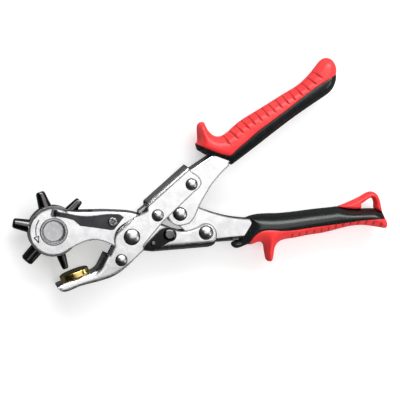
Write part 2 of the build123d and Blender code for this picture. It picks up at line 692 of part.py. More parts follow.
with BuildPart() as lower_handle_blank:
    with BuildSketch(layer(-LOWER_OUT)):
        with BuildLine():
            Line((33.0, 21.4), (45.0, 18.8))
            Spline((45.0, 18.8), (54.4, 15.5), (64.7, 12.9), (74.9, 11.6), (84.0, 11.4), lower_tang_top)
            Polyline(
                lower_tang_top, (137.0, 2.0), (57.5, -8.0), (57.5, -3.6),
                (51.0, -2.9), (42.0, -2.0), (27.2, 10.6),
            )
            ThreePointArc((27.2, 10.6), (25.5, 16.0), (33.0, 21.4))
        make_face()
    extrude(amount=2 * LOWER_OUT)
    add(lower_handle_bend.part, mode=Mode.INTERSECT)

with BuildPart() as lower_handle:
    add(lower_handle_blank.part)
    with BuildSketch(layer(-LOWER_IN)):
        with BuildLine():
            Polyline((150, 9.9), (150, FAR), (-FAR, FAR), (-FAR, -40), (57.5, -40), (57.5, -2.3))
            ThreePointArc((57.5, -2.3), (100.0, 1.8), (150, 9.9))
        make_face()
    extrude(amount=2 * LOWER_IN, mode=Mode.SUBTRACT)
    for pin, radius in ((KNEE_PIN, KNEE_SHANK + RUNNING), (TAIL_PIN, SHANK)):
        with BuildSketch(pin_plane(pin, -HALF_GRIP)):
            Circle(radius)
        extrude(amount=2 * HALF_GRIP, mode=Mode.SUBTRACT)
save(lower_handle, "lower_handle")

tail_pivot_rivet = rivet(TAIL_PIN, SHANK, 4.85, JAW_OUT, rise=2.6, neck=0.2)
save(tail_pivot_rivet, "tail_pivot_rivet")

handle_pivot_sleeve = sleeve([KNEE_PIN], KNEE_SHANK + RUNNING, 4.0, LOWER_IN)
save(handle_pivot_sleeve, "handle_pivot_sleeve")
tail_pivot_sleeve = sleeve([TAIL_PIN], SHANK, 4.2, LOWER_IN)
save(tail_pivot_sleeve, "tail_pivot_sleeve")

# --- grips --------------------------------------------------------------------------------
# Each grip is a black core over the tang with a red shell moulded on to it.


def upper_join():
    """Line between the core and the shell of the upper grip."""
    Spline(
        (42.6, 60.8), (47.4, 58.8), (54.6, 56.1), (61.7, 53.9), (65.0, 54.1), (67.8, 56.6),
        (74.7, 62.8), (81.8, 69.1), (89.1, 74.7), (103.5, 85.5), (117.8, 96.7), (136.2, 107.8),
    )


with BuildPart() as upper_grip_shell:
    with BuildSketch(layer(-HALF_GRIP)):
        with BuildLine():
            upper_join()
            Spline(
                (136.2, 107.8), (136.4, 110.0), (135.0, 115.0), (131.3, 118.2), (127.7, 117.7),
                (123.5, 113.5), (119.1, 107.8), (112.0, 100.8), (101.9, 94.4), (90.5, 87.2), (78.9, 80.1),
                (68.9, 73.0), (60.7, 66.3), (58.2, 65.6), (54.5, 66.6), (50.8, 70.0), (48.3, 74.9),
            )
            Spline((48.3, 74.9), (46.1, 75.1), (44.6, 74.2), (43.6, 71.4), (42.6, 60.8))
        make_face()
    extrude(amount=2 * HALF_GRIP)
    add(upper_handle_blank.part, mode=Mode.SUBTRACT)
save(upper_grip_shell, "upper_grip_shell")

with BuildPart() as upper_grip_core:
    with BuildSketch(layer(-HALF_GRIP)):
        with BuildLine():
            upper_join()
            Spline(
                (136.2, 107.8), (135.6, 101.4), (133.1, 96.8), (126.7, 91.6),
                (105.7, 77.0), (84.2, 60.3), (66.7, 47.0),
            )
            Polyline((66.7, 47.0), (62.6, 48.9), (49.2, 53.6), (43.8, 56.7), (42.6, 60.8))
        make_face()
    extrude(amount=2 * HALF_GRIP)
    add(upper_handle_blank.part, mode=Mode.SUBTRACT)
save(upper_grip_core, "upper_grip_core")


def lower_join():
    """Line between the core and the shell of the lower grip."""
    Spline(
        (78.8, -6.0), (81.1, -0.5), (85.4, 3.2), (99.0, 4.0),
        (119.0, 5.9), (141.1, 8.7), (155.9, 10.7), (172.0, 11.5),
    )


def core_top():
    """Top of the lower core behind its bare stretch, where the hang loop stands on it."""
    Spline((139.6, 19.3), (145.2, 18.0), (152.3, 17.6), (160.5, 18.0), (164.8, 17.9))
    Polyline((164.8, 17.9), (167.5, 16.3), (169.9, 15.6))


with BuildPart() as lower_grip_core:
    with BuildSketch(layer(-HALF_GRIP)):
        with BuildLine():
            lower_join()
            Polyline((172.0, 11.5), (169.9, 15.6))
            core_top()
            Spline((139.6, 19.3), (118.9, 17.0), (96.8, 14.7), (79.5, 12.9), (77.0, 11.8))
            Polyline((77.0, 11.8), (79.4, 8.5), (72.6, -3.0), (68.2, -4.4))
            Spline((68.2, -4.4), (67.8, -6.4), (70.0, -8.4), (74.0, -7.9), (78.8, -6.0))
        make_face()
    extrude(amount=2 * HALF_GRIP)
    add(lower_handle_blank.part, mode=Mode.SUBTRACT)
save(lower_grip_core, "lower_grip_core")

with BuildPart() as lower_grip_shell:
    with BuildSketch(layer(-HALF_GRIP)):
        with BuildLine():
            lower_join()
            Spline((172.0, 11.5), (173.5, 8.0), (173.3, 5.6), (172.0, 4.5))
            Spline(
                (172.0, 4.5), (163.3, 6.0), (155.9, 6.7), (148.5, 6.1), (141.1, 4.5), (130.0, 1.7),
                (119.0, 0.0), (107.9, -2.1), (102.0, -3.2), (99.0, -4.9), (97.1, -8.0), (96.4, -12.2),
                (95.7, -16.4),
            )
            Spline(
                (95.7, -16.4), (94.4, -17.6), (92.0, -17.0), (90.6, -13.5), (89.8, -9.2),
                (89.1, -6.1), (87.2, -4.5), (84.3, -4.9), (78.8, -6.0),
            )
        make_face()
    extrude(amount=2 * HALF_GRIP)
    add(lower_handle_blank.part, mode=Mode.SUBTRACT)
save(lower_grip_shell, "lower_grip_shell")

LOOP_HALF = 6.5
with BuildPart() as hang_loop:
    with BuildSketch(layer(-LOOP_HALF)):
        with BuildLine():
            core_top()
            Spline(
                (169.9, 15.6), (168.1, 22.9), (166.1, 27.2), (163.3, 29.1),
                (160.3, 28.8), (156.0, 26.5), (148.6, 22.8), (139.6, 19.3),
            )
        make_face()
    extrude(amount=2 * LOOP_HALF)
    with BuildSketch(layer(-LOOP_HALF)):
        with BuildLine():
            Polyline((155.3, 16.5), (164.5, 16.5), (164.3, 19.6))
            Spline((164.3, 19.6), (163.8, 23.2), (162.3, 25.1), (160.2, 24.5), (155.3, 21.4))
            Line((155.3, 21.4), (155.3, 16.5))
        make_face()
    extrude(amount=2 * LOOP_HALF, mode=Mode.SUBTRACT)
save(hang_loop, "hang_loop")
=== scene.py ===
import math

import bmesh
import bpy
import numpy as np
from mathutils import Matrix, Vector, geometry


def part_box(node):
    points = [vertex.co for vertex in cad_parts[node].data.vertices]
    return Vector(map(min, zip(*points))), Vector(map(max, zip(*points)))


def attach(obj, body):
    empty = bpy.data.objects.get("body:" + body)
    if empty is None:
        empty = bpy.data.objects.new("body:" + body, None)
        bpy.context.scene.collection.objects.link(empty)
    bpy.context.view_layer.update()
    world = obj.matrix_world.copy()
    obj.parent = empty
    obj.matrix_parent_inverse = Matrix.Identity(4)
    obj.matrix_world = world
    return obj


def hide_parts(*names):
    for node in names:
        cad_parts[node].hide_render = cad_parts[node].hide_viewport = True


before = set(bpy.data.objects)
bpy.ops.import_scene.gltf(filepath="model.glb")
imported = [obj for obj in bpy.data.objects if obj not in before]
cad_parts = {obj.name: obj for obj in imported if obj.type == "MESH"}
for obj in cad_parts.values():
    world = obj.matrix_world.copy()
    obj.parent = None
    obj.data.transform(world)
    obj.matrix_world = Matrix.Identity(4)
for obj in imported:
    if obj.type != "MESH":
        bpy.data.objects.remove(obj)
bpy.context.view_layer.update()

MM = 0.001

# Revolving leather punch pliers lying on a pale table. Lengths are metres; +X runs to the handles.
rivet_low, rivet_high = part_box("jaw_pivot_rivet")
PIVOT = (rivet_low + rivet_high) / 2
HALF_GRIP = PIVOT.z


def middle(node):
    """Centre of a CAD node's box."""
    low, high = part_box(node)
    return (low + high) / 2


def tool_point(x, y, z=0.0):
    """Point given in millimetres from the main pivot, on the tool's mid-plane."""
    return PIVOT + Vector((x, y, z)) * MM


# --- camera, light and table ----------------------------------------------------------------
VIEW_WIDTH = 0.2633
CAMERA_DISTANCE = 1.5
SENSOR = 36.0
TOWARDS_CAMERA = Vector((-0.155, 0.095, 1.0)).normalized()
AIM = tool_point(44.8, 24.4, 10)


def make_camera():
    camera = bpy.data.objects.new("camera", bpy.data.cameras.new("camera"))
    bpy.context.scene.collection.objects.link(camera)
    camera.data.sensor_width = SENSOR
    camera.data.lens = SENSOR * CAMERA_DISTANCE / VIEW_WIDTH
    camera.data.clip_start, camera.data.clip_end = 0.05, 20
    camera.location = AIM + TOWARDS_CAMERA * CAMERA_DISTANCE
    right = (Vector((1, 0, 0)) - TOWARDS_CAMERA * TOWARDS_CAMERA.x).normalized()
    up = TOWARDS_CAMERA.cross(right)
    axes = [[right[i], up[i], TOWARDS_CAMERA[i]] for i in range(3)]
    camera.rotation_mode = "QUATERNION"
    camera.rotation_quaternion = Matrix(axes).to_quaternion()
    bpy.context.scene.camera = camera


def area_light(name, place, aim, size, power, colour=(1, 1, 1), mirrored=True):
    """A rectangular soft light that faces aim; mirrored says if it shows in glossy reflections."""
    data = bpy.data.lights.new(name, "AREA")
    data.shape = "RECTANGLE"
    data.size, data.size_y = size
    data.energy = power
    data.color = colour
    lamp = bpy.data.objects.new(name, data)
    bpy.context.scene.collection.objects.link(lamp)
    lamp.location = place
    lamp.visible_glossy = mirrored
    lamp.rotation_euler = (Vector(aim) - Vector(place)).to_track_quat("-Z", "Y").to_euler()


LOW_GLOW = 0.09
BACKDROP = 0.95


def make_lights():
    area_light("overhead_softbox", (0.44, 0.395, 0.75), (0.44, 0.395, 0), (1.30, 1.12), 5.6)
    area_light("back_strip", (0.10, 0.84, 0.62), (0.0, 0, 0), (1.7, 0.42), 14.0)
    area_light("front_fill", (0.45, -0.80, 0.75), (0, 0, 0), (0.9, 0.35), 7.0, mirrored=False)
    area_light("right_fill", (1.1, -0.4, 0.5), (0, 0, 0), (0.5, 0.4), 1.4)
    world = bpy.data.worlds.new("studio")
    bpy.context.scene.world = world
    world.use_nodes = True
    tree = world.node_tree
    coordinates = tree.nodes.new("ShaderNodeTexCoord")
    split = tree.nodes.new("ShaderNodeSeparateXYZ")
    tree.links.new(coordinates.outputs["Generated"], split.inputs[0])
    high = smooth_range(tree, split.outputs["Z"], 0.15, 0.80, 0.0, 1.0)
    right = smooth_range(tree, split.outputs["X"], -0.35, 0.30, 0.05, 0.55)
    glow = arithmetic(tree, "ADD", arithmetic(tree, "MULTIPLY", high, right), LOW_GLOW)
    path = tree.nodes.new("ShaderNodeLightPath")
    choose = tree.nodes.new("ShaderNodeMix")
    tree.links.new(path.outputs["Is Camera Ray"], choose.inputs[0])
    tree.links.new(glow, choose.inputs[2])
    choose.inputs[3].default_value = BACKDROP
    tree.links.new(choose.outputs[0], tree.nodes["Background"].inputs["Strength"])
    bpy.context.scene.view_settings.view_transform = "Standard"


def smooth_range(tree, value, start, stop, low, high):
    """Maps a value from start..stop to low..high with soft ends."""
    ranged = tree.nodes.new("ShaderNodeMapRange")
    ranged.interpolation_type = "SMOOTHSTEP"
    for socket, number in zip(ranged.inputs[1:5], (start, stop, low, high)):
        socket.default_value = number
    tree.links.new(value, ranged.inputs[0])
    return ranged.outputs[0]


TABLE_HALF = 4.0
TABLE_DROP = 0.3 * MM
TABLE_GLOW, PAINTED_REFLECTION_GLOW = 0.46, 0.03
# painted reflection: the table's tone in the metal's glossy reflections
PAINTED_REFLECTION_TONE = (0.05, 0.05, 0.05)


def make_floor():
    mesh = bpy.data.meshes.new("table")
    half, drop = TABLE_HALF, -TABLE_DROP
    corners = [(-half, -half, drop), (half, -half, drop), (half, half, drop), (-half, half, drop)]
    mesh.from_pydata(corners, [], [(0, 1, 2, 3)])
    floor = bpy.data.objects.new("table", mesh)
    bpy.context.scene.collection.objects.link(floor)
    made, tree, shader = new_material("pale_table")
    shader.inputs["Roughness"].default_value = 0.85
    shader.inputs["Emission Color"].default_value = (1, 1, 1, 1)
    grain = noise(tree, 35, 3)
    pale = mix_colour(tree, grain, (0.66, 0.66, 0.66), (0.70, 0.70, 0.70))
    # painted reflection: for glossy rays only the table takes a dark tone and almost no glow, so that the
    # metal's turned edges read as outlines
    path = tree.nodes.new("ShaderNodeLightPath")
    mirrored = path.outputs["Is Glossy Ray"]
    tree.links.new(mix_colour(tree, mirrored, pale, PAINTED_REFLECTION_TONE), shader.inputs["Base Color"])
    glow = spread(tree, mirrored, TABLE_GLOW, PAINTED_REFLECTION_GLOW, 0, 1)
    tree.links.new(glow, shader.inputs["Emission Strength"])
    mesh.materials.append(made)


# --- materials ------------------------------------------------------------------------------
def new_material(name):
    made = bpy.data.materials.new(name)
    made.use_nodes = True
    return made, made.node_tree, made.node_tree.nodes["Principled BSDF"]


def place_coordinates(tree, stretch=(1, 1, 1), turn=(0, 0, 0), centre=(0, 0, 0)):
    """Position in the piece's own frame, moved, turned and scaled for a texture."""
    coordinates = tree.nodes.new("ShaderNodeTexCoord")
    shift = tree.nodes.new("ShaderNodeVectorMath")
    shift.operation = "SUBTRACT"
    shift.inputs[1].default_value = centre
    mapping = tree.nodes.new("ShaderNodeMapping")
    mapping.inputs["Rotation"].default_value = [math.radians(a) for a in turn]
    mapping.inputs["Scale"].default_value = stretch
    tree.links.new(coordinates.outputs["Object"], shift.inputs[0])
    tree.links.new(shift.outputs[0], mapping.inputs["Vector"])
    return mapping.outputs[0]


def noise(tree, scale, detail=4, stretch=(1, 1, 1), turn=(0, 0, 0), roughness=0.55):
    texture = tree.nodes.new("ShaderNodeTexNoise")
    texture.inputs["Scale"].default_value = scale
    texture.inputs["Detail"].default_value = detail
    texture.inputs["Roughness"].default_value = roughness
    tree.links.new(place_coordinates(tree, stretch, turn), texture.inputs["Vector"])
    return texture.outputs[0]


def spread(tree, value, low, high, start=0.3, stop=0.7):
    """Maps a texture value from start..stop to low..high."""
    ranged = tree.nodes.new("ShaderNodeMapRange")
    for socket, number in zip(ranged.inputs[1:5], (start, stop, low, high)):
        socket.default_value = number
    tree.links.new(value, ranged.inputs[0])
    return ranged.outputs[0]


def arithmetic(tree, operation, first, second):
    done = tree.nodes.new("ShaderNodeMath")
    done.operation = operation
    for socket, value in zip(done.inputs, (first, second)):
        if isinstance(value, (int, float)):
            socket.default_value = value
        else:
            tree.links.new(value, socket)
    return done.outputs[0]


def mix_colour(tree, factor, first, second):
    mixed = tree.nodes.new("ShaderNodeMix")
    mixed.data_type = "RGBA"
    tree.links.new(factor, mixed.inputs[0])
    for socket, value in zip(mixed.inputs[6:8], (first, second)):
        if isinstance(value, tuple):
            socket.default_value = (*value, 1)
        else:
            tree.links.new(value, socket)
    return mixed.outputs[2]


def rounded_normal(tree, radius):
    """Shading normal with the piece's sharp edges rounded off."""
    bevel = tree.nodes.new("ShaderNodeBevel")
    bevel.samples = 6
    if isinstance(radius, (int, float)):
        bevel.inputs["Radius"].default_value = radius
    else:
        tree.links.new(radius, bevel.inputs["Radius"])
    return bevel.outputs[0]


def bent_radius(tree, sides):
    """Edge radius that grows from ROUNDING to BEND on the given sides of the main pivot.

    Each side is a direction and the two distances along it between which the radius grows.
    """
    grown = None
    for heading, start, stop in sides:
        along = tree.nodes.new("ShaderNodeVectorMath")
        along.operation = "DOT_PRODUCT"
        along.inputs[1].default_value = (math.cos(heading), math.sin(heading), 0)
        tree.links.new(place_coordinates(tree, centre=tool_point(0, 0)), along.inputs[0])
        share = spread(tree, along.outputs["Value"], 0.0, 1.0, start, stop)
        grown = share if grown is None else arithmetic(tree, "MAXIMUM", grown, share)
    return spread(tree, grown, ROUNDING, BEND, 0.0, 1.0)


def edge_mask(tree, radius, full=0.86, none=0.985):
    """1 along sharp edges, 0 on open surfaces; full and none are the turns of the normal, as cosines."""
    face = tree.nodes.new("ShaderNodeNewGeometry")
    same = tree.nodes.new("ShaderNodeVectorMath")
    same.operation = "DOT_PRODUCT"
    tree.links.new(rounded_normal(tree, radius), same.inputs[0])
    tree.links.new(face.outputs["Normal"], same.inputs[1])
    return spread(tree, same.outputs["Value"], 1.0, 0.0, full, none)


ROUNDING = 0.45 * MM
BEND = 3.0 * MM
EDGE_WIDTH = 1.6 * MM
# tone of the dark line along sharp edges: partly the dull edge the shears leave, partly painted shade
EDGE_LINE_SHADE_TONE = (0.02, 0.02, 0.022)


def beyond(tree, centre, reach):
    """0 within a reach of a point, seen along Z, and 1 outside it."""
    gap = tree.nodes.new("ShaderNodeVectorMath")
    gap.operation = "LENGTH"
    tree.links.new(place_coordinates(tree, stretch=(1, 1, 0), centre=centre), gap.inputs[0])
    return spread(tree, gap.outputs["Value"], 0.0, 1.0, reach, reach + 0.3 * MM)


def edge_line_and_painted_shade(tree, tone, spared=None):
    """A tone with a dark line round each plate's edges: partly the dull edge the shears leave, partly
    painted shade.

    spared is a point and a reach within which no line is drawn.
    """
    line = edge_mask(tree, EDGE_WIDTH, 0.97, 0.9985)
    if spared:
        line = arithmetic(tree, "MULTIPLY", line, beyond(tree, *spared))
    return mix_colour(tree, line, tone, EDGE_LINE_SHADE_TONE)


def bump(tree, height, depth, normal=None, strength=1.0):
    raised = tree.nodes.new("ShaderNodeBump")
    raised.inputs["Strength"].default_value = strength
    raised.inputs["Distance"].default_value = depth
    tree.links.new(height, raised.inputs["Height"])
    if normal is not None:
        tree.links.new(normal, raised.inputs["Normal"])
    return raised.outputs[0]


def engraving(tree, level):
    """1 on an engraved floor at this height, 0 elsewhere."""
    split = tree.nodes.new("ShaderNodeSeparateXYZ")
    tree.links.new(place_coordinates(tree), split.inputs[0])
    off = arithmetic(tree, "ABSOLUTE", arithmetic(tree, "SUBTRACT", split.outputs["Z"], level), 0)
    return spread(tree, off, 1.0, 0.0, 0.03 * MM, 0.06 * MM)


def facing(tree, direction):
    """1 where the piece's own surface faces a direction, 0 elsewhere."""
    coordinates = tree.nodes.new("ShaderNodeTexCoord")
    same = tree.nodes.new("ShaderNodeVectorMath")
    same.operation = "DOT_PRODUCT"
    same.inputs[1].default_value = direction
    tree.links.new(coordinates.outputs["Normal"], same.inputs[0])
    return spread(tree, same.outputs["Value"], 0.0, 1.0, 0.80, 0.97)


def metal(
    name, dark, light, gloss, worn=None, grain=None, mask=None, masked=None, dark_edge_and_shade=False, spared=None,
    bends=None
):
    """Metal with cloudy tone, uneven polish, fine scratches and rounded edges.

    dark and light are the two tones, gloss the range of roughness, worn the colour of rubbed edges,
    grain the direction of the polishing lines in degrees. mask picks out the area that takes the tone
    masked. The edge flag draws a dark line round the plates' edges, partly the dull edge the shears
    leave and partly painted shade, except within the area spared. bends lists the sides
    where the sheet is folded with a wide radius.
    """
    made, tree, shader = new_material(name)
    shader.inputs["Metallic"].default_value = 1.0
    clouds = noise(tree, 90, 5)
    tone = mix_colour(tree, spread(tree, clouds, 0, 1, 0.35, 0.65), dark, light)
    if worn:
        patches = spread(tree, noise(tree, 700, 4), 0.25, 1, 0.35, 0.6)
        rubbed = arithmetic(tree, "MULTIPLY", edge_mask(tree, 0.45 * MM), patches)
        tone = mix_colour(tree, rubbed, tone, worn)
    # dark line along the sharp edges: partly the dull edge the shears leave, partly painted shade
    if dark_edge_and_shade:
        tone = edge_line_and_painted_shade(tree, tone, spared)
    if mask:
        tone = mix_colour(tree, mask(tree), tone, masked)
    tree.links.new(tone, shader.inputs["Base Color"])
    smears = noise(tree, 160, 6, roughness=0.65)
    tree.links.new(spread(tree, smears, gloss[0], gloss[1]), shader.inputs["Roughness"])
    turn = (0, 0, 0 if grain is None else -grain)
    stretch = (1, 1, 1) if grain is None else (0.035, 1, 1)
    lines = noise(tree, 5200, 3, stretch=stretch, turn=turn)
    radius = bent_radius(tree, bends) if bends else ROUNDING
    normal = bump(tree, lines, 0.004 * MM, rounded_normal(tree, radius), 0.5)
    waves = noise(tree, 130, 2)
    normal = bump(tree, waves, 0.03 * MM, normal, 0.5)
    tree.links.new(normal, shader.inputs["Normal"])
    return made


def turned_metal(name, dark, light, gloss, centre, ring_pitch):
    """Lathe-turned steel: fine rings about a centre line along Z."""
    made, tree, shader = new_material(name)
    shader.inputs["Metallic"].default_value = 1.0
    tone = mix_colour(tree, noise(tree, 140, 4), dark, light)
    # painted shade: a dark line round the turned edges
    tone = edge_line_and_painted_shade(tree, tone)
    tree.links.new(tone, shader.inputs["Base Color"])
    flat = place_coordinates(tree, stretch=(1, 1, 0), centre=centre)
    reach = tree.nodes.new("ShaderNodeVectorMath")
    reach.operation = "LENGTH"
    tree.links.new(flat, reach.inputs[0])
    phase = arithmetic(tree, "MULTIPLY", reach.outputs["Value"], 2 * math.pi / ring_pitch)
    rings = arithmetic(tree, "SINE", phase, 0)
    normal = bump(tree, rings, 0.006 * MM, rounded_normal(tree, 0.3 * MM), 0.6)
    tree.links.new(normal, shader.inputs["Normal"])
    rough = spread(tree, noise(tree, 300, 5), gloss[0], gloss[1])
    tree.links.new(rough, shader.inputs["Roughness"])
    return made


def plastic(name, deep, bright, gloss, grain_depth, scuff, shadow):
    """Moulded plastic: faint colour drift, fine leathery grain, and lightly rubbed high spots."""
    made, tree, shader = new_material(name)
    drift = noise(tree, 45, 4)
    tone = mix_colour(tree, spread(tree, drift, 0, 1), deep, bright)
    specks = spread(tree, noise(tree, 900, 5), 0, 1, 0.58, 0.75)
    tone = mix_colour(tree, arithmetic(tree, "MULTIPLY", specks, 0.35), tone, scuff)
    # a point attribute darkens the plastic toward shadow: a dark seam line where the two pieces meet, and
    # painted shade in the grooves
    seam_line_and_groove_shade = tree.nodes.new("ShaderNodeAttribute")
    seam_line_and_groove_shade.attribute_name = "seam_line_and_groove_shade"
    tone = mix_colour(tree, seam_line_and_groove_shade.outputs["Fac"], tone, shadow)
    tree.links.new(tone, shader.inputs["Base Color"])
    shader.inputs["Specular IOR Level"].default_value = 0.5
    smears = noise(tree, 220, 5, roughness=0.6)
    tree.links.new(spread(tree, smears, gloss[0], gloss[1]), shader.inputs["Roughness"])
    cells = tree.nodes.new("ShaderNodeTexVoronoi")
    cells.inputs["Scale"].default_value = 2600
    tree.links.new(place_coordinates(tree), cells.inputs["Vector"])
    normal = bump(tree, cells.outputs["Distance"], grain_depth, None, 0.6)
    normal = bump(tree, noise(tree, 320, 3), 0.02 * MM, normal, 0.5)
    tree.links.new(normal, shader.inputs["Normal"])
    return made


def paint(material, *nodes):
    """Gives carried-over CAD nodes a material."""
    for name in nodes:
        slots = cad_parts[name].data.materials
        slots.clear()
        slots.append(material)


# --- grips ----------------------------------------------------------------------------------
def chain_loops(edges):
    """Joins directed edges end to end into closed loops."""
    follows = dict(edges)
    loops = []
    while follows:
        start = next(iter(follows))
        loop, here = [start], follows.pop(start)
        while here != start:
            loop.append(here)
            here = follows.pop(here)
        loops.append(loop)
    return sorted(loops, key=len, reverse=True)


def top_loops(node):
    """Border lines of a CAD node's upper flat face, in the tool's plane, outer one first."""
    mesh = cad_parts[node].data
    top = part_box(node)[1].z
    keys = [tuple(round(c, 6) for c in v.co) for v in mesh.vertices]
    directed = set()
    for face in mesh.polygons:
        ring = [keys[i] for i in face.vertices]
        if all(abs(key[2] - top) < 2e-6 for key in ring):
            directed.update(zip(ring, ring[1:] + ring[:1]))
    border = [(a[:2], b[:2]) for a, b in directed if (b, a) not in directed]
    return [np.array(loop) for loop in chain_loops(border)]


def resample(loop, step):
    """Evenly spaced points along a closed loop that keep its corners."""
    ahead = np.roll(loop, -1, axis=0) - loop
    heading = np.arctan2(ahead[:, 1], ahead[:, 0])
    bend = np.abs((heading - np.roll(heading, 1) + np.pi) % (2 * np.pi) - np.pi)
    corners = list(np.flatnonzero(bend > math.radians(24)))
    if not corners:
        corners = [0]
    made = []
    for first, last in zip(corners, corners[1:] + [corners[0] + len(loop)]):
        run = loop[np.arange(first, last + 1) % len(loop)]
        length = np.concatenate([[0], np.cumsum(np.linalg.norm(np.diff(run, axis=0), axis=1))])
        count = max(1, round(length[-1] / step))
        stations = np.linspace(0, length[-1], count + 1)[:-1]
        made.append(np.column_stack([np.interp(stations, length, run[:, i]) for i in (0, 1)]))
    return np.concatenate(made)


def nearest(points, starts, ends):
    """Distance from each point to a set of segments, with the nearest one's index."""
    distance = np.full(len(points), 1e9)
    index = np.zeros(len(points), int)
    along = ends - starts
    squared = (along**2).sum(1)
    block = 1500
    for first in range(0, len(points), block):
        p = points[first : first + block, None, :]
        t = np.clip(((p - starts) * along).sum(2) / squared, 0, 1)
        gap = np.linalg.norm(starts + t[..., None] * along - p, axis=2)
        index[first : first + block] = gap.argmin(1)
        distance[first : first + block] = gap.min(1)
    return distance, index


def inside(points, loops):
    """Whether each point lies within the area between closed loops."""
    result = np.zeros(len(points), bool)
    for loop in loops:
        a, b = loop, np.roll(loop, -1, axis=0)
        p = points[:, None, :]
        crosses = (a[:, 1] > p[..., 1]) != (b[:, 1] > p[..., 1])
        rise = np.where(b[:, 1] == a[:, 1], 1e-12, b[:, 1] - a[:, 1])
        where = a[:, 0] + (p[..., 1] - a[:, 1]) * (b[:, 0] - a[:, 0]) / rise
        result ^= ((crosses & (p[..., 0] < where)).sum(1) % 2).astype(bool)
    return result


RINGS = [t * MM for t in (0.05, 0.16, 0.34, 0.6, 0.95, 1.4, 1.9, 2.45, 3.05, 3.7, 4.4, 5.15, 5.95, 6.8)]
FILL_STEP = 0.75 * MM


def surface_points(loops):
    """Points for a crowned surface: rings that follow the border, then an even fill."""
    starts = np.concatenate(loops)
    ends = np.concatenate([np.roll(loop, -1, axis=0) for loop in loops])
    rings = []
    for loop in loops:
        tangent = np.roll(loop, -1, axis=0) - np.roll(loop, 1, axis=0)
        tangent /= np.linalg.norm(tangent, axis=1)[:, None]
        inward = np.column_stack([-tangent[:, 1], tangent[:, 0]])
        for depth in RINGS:
            ring = loop + inward * depth
            gap, _ = nearest(ring, starts, ends)
            keep = (gap > 0.96 * depth) & inside(ring, loops)
            rings.append(ring[keep])
    low, high = starts.min(0), starts.max(0)
    rows = np.arange(low[1], high[1], FILL_STEP * 0.866)
    columns = np.arange(low[0], high[0], FILL_STEP)
    fill = np.array([(x + (i % 2) * FILL_STEP / 2, y) for i, y in enumerate(rows) for x in columns])
    gap, _ = nearest(fill, starts, ends)
    fill = fill[(gap > RINGS[-1] + FILL_STEP / 2) & inside(fill, loops)]
    return np.concatenate([*loops, *rings, fill])


def triangulate(loops):
    """Triangles that fill the area between loops, over the surface points."""
    points = surface_points(loops)
    edges, first = [], 0
    for loop in loops:
        count = len(loop)
        edges += [(first + i, first + (i + 1) % count) for i in range(count)]
        first += count
    scaled = [Vector(p) / MM for p in points]
    flat, _, faces, *_ = geometry.delaunay_2d_cdt(scaled, edges, [], 4, 1e-5)
    flat = np.array([tuple(p) for p in flat]) * MM
    return flat, [tuple(face) for face in faces]


SHARPNESS = 5
CLOSEST = 0.1 * MM
BLEND_START, BLEND_STRETCH = 0.7 * MM, 1.3 * MM


def soft_depth(points, starts, ends):
    """Distance inside a border that blends smoothly where two sides are equally near."""
    exact, _ = nearest(points, starts, ends)
    exact = np.where(exact < 2e-6, 0, exact)
    centres, lengths = (starts + ends) / 2, np.linalg.norm(ends - starts, axis=1)
    line = math.sqrt(math.pi) * math.gamma((SHARPNESS - 1) / 2) / math.gamma(SHARPNESS / 2)
    soft = exact.copy()
    for i in np.array_split(np.arange(len(points)), max(1, len(points) // 1500)):
        gap = np.linalg.norm(points[i, None, :] - centres, axis=2)
        total = (lengths * np.maximum(gap, CLOSEST) ** -SHARPNESS).sum(1)
        soft[i] = (total / line) ** (-1 / (SHARPNESS - 1))
    share = np.clip((exact - BLEND_START) / BLEND_STRETCH, 0, 1)
    share = share * share * (3 - 2 * share)
    return exact * (1 - share) + soft * share


def crowned_mesh(name, flat, faces, height, centre_z, seam_line_and_groove_shade):
    """Closed mesh with a crowned top and its mirror image below, joined round the border."""
    count = len(flat)
    top = np.column_stack([flat, centre_z + height])
    low = np.column_stack([flat, centre_z - height])
    below = [i if height[i] < 1e-7 else i + count for i in range(count)]
    made = list(faces)
    made += [tuple(below[i] for i in reversed(face)) for face in faces]
    directed = {(f[i], f[(i + 1) % 3]) for f in faces for i in range(3)}
    for a, b in directed:
        if (b, a) not in directed:
            wall = list(dict.fromkeys([b, a, below[a], below[b]]))
            if len(wall) > 2:
                made.append(tuple(wall))
    mesh = bpy.data.meshes.new(name)
    mesh.from_pydata(np.concatenate([top, low]).tolist(), [], made)
    mesh.attributes.new("seam_line_and_groove_shade", "FLOAT", "POINT").data.foreach_set("value", np.concatenate([seam_line_and_groove_shade, seam_line_and_groove_shade]))
    mesh.validate()
    mesh.shade_smooth()
    mesh.set_sharp_from_angle(angle=math.radians(48))
    piece = bpy.data.objects.new(name, mesh)
    bpy.context.scene.collection.objects.link(piece)
    remove_loose_points(mesh)
    return piece


def remove_loose_points(mesh):
    """Drops the points that no face uses."""
    work = bmesh.new()
    work.from_mesh(mesh)
    loose = [v for v in work.verts if not v.link_faces]
    bmesh.ops.delete(work, geom=loose, context="VERTS")
    work.to_mesh(mesh)
    work.free()


def crown(depth, reach, power, half):
    """Height of a rounded section at a depth inside its border."""
    t = np.clip(1 - depth / reach, 0, 1)
    return half * (1 - t**power) ** (1 / power)


BORDER_STEP = 0.32 * MM
JOIN_TOLERANCE = 0.03 * MM


def split_border(loop, other):
    """Segments of a loop that are the grip's own outside, and those that join the other piece."""
    starts, ends = loop, np.roll(loop, -1, axis=0)
    gap, _ = nearest((starts + ends) / 2, other, np.roll(other, -1, axis=0))
    joined = gap < JOIN_TOLERANCE
    turn = -int(np.flatnonzero(joined & ~np.roll(joined, -1))[0]) - 1
    starts, ends, joined = (np.roll(part, turn, axis=0) for part in (starts, ends, joined))
    return (starts[~joined], ends[~joined]), (starts[joined], ends[joined])


